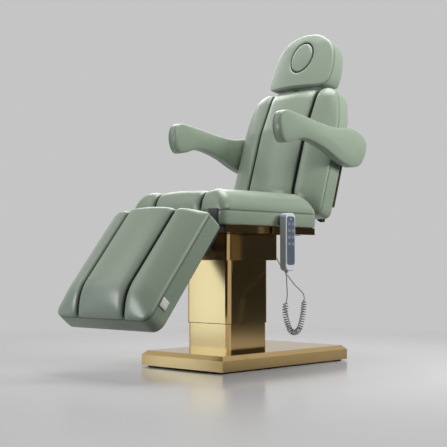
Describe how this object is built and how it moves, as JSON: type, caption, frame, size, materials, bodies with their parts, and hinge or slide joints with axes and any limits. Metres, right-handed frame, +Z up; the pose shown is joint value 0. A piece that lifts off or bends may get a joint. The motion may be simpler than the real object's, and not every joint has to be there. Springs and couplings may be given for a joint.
{
  "type": "electric treatment couch",
  "caption": "Electric treatment couch in its chair position: padded seat, leg rest, reclining back with headrest and swing-up arms on a lifting column, with a corded handset.",
  "frame": {"origin": "on the floor, under the middle of the couch's whole box as it stands with the back up and the leg rest down", "axes": "+Z up; +X from the foot end to the head end; +Y to the sitter's right, so the handset hangs on the -Y side"},
  "size_m": [1.3913, 0.69, 1.5531],
  "materials": {
    "gold_paint": "satin metallic champagne gold",
    "black_steel": "satin black",
    "bare_steel": "drawn bright steel",
    "drive_housing": "black moulded housing",
    "glide_plastic": "white low-friction plastic",
    "rubber": "black rubber",
    "board": "dark faced board",
    "upholstery": "sage green leatherette over foam",
    "handset_grey": "light grey moulded case",
    "keypad_film": "blue-grey panel",
    "key_caps": "pale keys",
    "cord_light": "light grey soft PVC",
    "cord_dark": "dark PVC"
  },
  "bodies": {
    "base": {"base_cover": "gold_paint", "base_plate": "black_steel", "base_frame": "black_steel", "base_feet": "rubber", "mains_inlet": "drive_housing", "column_lower_tube": "gold_paint", "guide_post": "bare_steel", "guide_pads_fixed": "glide_plastic", "lift_actuator": "drive_housing"},
    "carriage": {"column_wiper": "rubber", "column_upper_tube": "gold_paint", "column_sleeve": "gold_paint", "carriage_tube": "bare_steel", "guide_pads_moving": "glide_plastic", "lift_rod": "bare_steel", "carriage_plate": "black_steel", "seat_rails": "gold_paint", "seat_cross_members": "gold_paint", "seat_board": "board", "seat_cushion": "upholstery", "control_box": "drive_housing", "back_hinges": "black_steel", "leg_hinge": "black_steel", "drive_mounts": "black_steel", "handset_hook": "black_steel", "cord_lead": "cord_light", "cord_curl": "cord_light", "cord_return": "cord_dark", "cord_plug": "cord_dark"},
    "leg_rest": {"leg_cushion": "upholstery", "leg_board": "board", "leg_frame": "black_steel"},
    "backrest": {"back_cushion": "upholstery", "back_board": "board", "back_frame": "black_steel", "head_hinge": "black_steel"},
    "headrest": {"head_cushion": "upholstery", "head_board": "board", "head_hinge_leaves": "black_steel"},
    "face_plug": {"face_plug": "upholstery"},
    "armrest_right": {"armrest_pad_right": "upholstery", "arm_shaft_right": "bare_steel"},
    "armrest_left": {"armrest_pad_left": "upholstery", "arm_shaft_left": "bare_steel"},
    "back_drive_body": {"back_drive_body": "drive_housing"},
    "back_drive_rod": {"back_drive_rod": "bare_steel"},
    "leg_drive_body": {"leg_drive_body": "drive_housing"},
    "leg_drive_rod": {"leg_drive_rod": "bare_steel"},
    "handset": {"handset_body": "handset_grey", "handset_keypad": "keypad_film"},
    "key_1": {"key_1": "key_caps"},
    "key_2": {"key_2": "key_caps"},
    "key_3": {"key_3": "key_caps"},
    "key_4": {"key_4": "key_caps"},
    "key_5": {"key_5": "key_caps"},
    "key_6": {"key_6": "key_caps"},
    "key_7": {"key_7": "key_caps"},
    "key_8": {"key_8": "key_caps"}
  },
  "joints": [
    {"name": "lift", "type": "slide", "parent": "base", "child": "carriage", "axis": [0, 0, 1], "range_m": [-0.11, 0.18]},
    {"name": "back_tilt", "type": "hinge", "parent": "carriage", "child": "backrest", "pos_m": [0.35306, 0, 0.64002], "axis": [0, 1, 0], "range_deg": [0, 70]},
    {"name": "leg_lift", "type": "hinge", "parent": "carriage", "child": "leg_rest", "pos_m": [-0.287, 0, 0.588], "axis": [0, 1, 0], "range_deg": [-10, 51]},
    {"name": "head_tilt", "type": "hinge", "parent": "backrest", "child": "headrest", "pos_m": [0.613, 0, 1.257], "axis": [0, 1, 0], "range_deg": [-5, 40]},
    {"name": "face_plug_out", "type": "slide", "parent": "headrest", "child": "face_plug", "axis": [-0.9659, 0, 0.2588], "range_m": [0, 0.08]},
    {"name": "arm_right_swing", "type": "hinge", "parent": "backrest", "child": "armrest_right", "pos_m": [0.55129, 0, 0.95887], "axis": [0, 1, 0], "range_deg": [0, 90]},
    {"name": "arm_left_swing", "type": "hinge", "parent": "backrest", "child": "armrest_left", "pos_m": [0.55129, 0, 0.95887], "axis": [0, 1, 0], "range_deg": [0, 90]},
    {"name": "back_drive_swing", "type": "hinge", "parent": "carriage", "child": "back_drive_body", "pos_m": [0.058, 0.194, 0.525], "axis": [0, 1, 0], "range_deg": [0, 2.1]},
    {"name": "back_drive_stroke", "type": "slide", "parent": "back_drive_body", "child": "back_drive_rod", "axis": [0.9875, 0, 0.1574], "range_m": [-0.0918, 0]},
    {"name": "leg_drive_swing", "type": "hinge", "parent": "carriage", "child": "leg_drive_body", "pos_m": [-0.037, 0.194, 0.535], "axis": [0, 1, 0], "range_deg": [-1.7, 8.3]},
    {"name": "leg_drive_stroke", "type": "slide", "parent": "leg_drive_body", "child": "leg_drive_rod", "axis": [-0.9981, 0, -0.0619], "range_m": [-0.0098, 0.0492]},
    {"name": "handset_unhook", "type": "slide", "parent": "carriage", "child": "handset", "axis": [0, 0, 1], "range_m": [0, 0.06]},
    {"name": "key_1_press", "type": "slide", "parent": "handset", "child": "key_1", "axis": [0, 1, 0], "range_m": [0, 0.001], "stiffness_N_per_m": 800},
    {"name": "key_2_press", "type": "slide", "parent": "handset", "child": "key_2", "axis": [0, 1, 0], "range_m": [0, 0.001], "stiffness_N_per_m": 800},
    {"name": "key_3_press", "type": "slide", "parent": "handset", "child": "key_3", "axis": [0, 1, 0], "range_m": [0, 0.001], "stiffness_N_per_m": 800},
    {"name": "key_4_press", "type": "slide", "parent": "handset", "child": "key_4", "axis": [0, 1, 0], "range_m": [0, 0.001], "stiffness_N_per_m": 800},
    {"name": "key_5_press", "type": "slide", "parent": "handset", "child": "key_5", "axis": [0, 1, 0], "range_m": [0, 0.001], "stiffness_N_per_m": 800},
    {"name": "key_6_press", "type": "slide", "parent": "handset", "child": "key_6", "axis": [0, 1, 0], "range_m": [0, 0.001], "stiffness_N_per_m": 800},
    {"name": "key_7_press", "type": "slide", "parent": "handset", "child": "key_7", "axis": [0, 1, 0], "range_m": [0, 0.001], "stiffness_N_per_m": 800},
    {"name": "key_8_press", "type": "slide", "parent": "handset", "child": "key_8", "axis": [0, 1, 0], "range_m": [0, 0.001], "stiffness_N_per_m": 800}
  ],
  "couplings": [
    {"joint": "back_drive_swing", "follows": "back_tilt", "ratio": 0.028957},
    {"joint": "back_drive_stroke", "follows": "back_tilt", "m_per_rad": -0.074948},
    {"joint": "leg_drive_swing", "follows": "leg_lift", "ratio": 0.16059},
    {"joint": "leg_drive_stroke", "follows": "leg_lift", "m_per_rad": 0.055056}
  ]
}
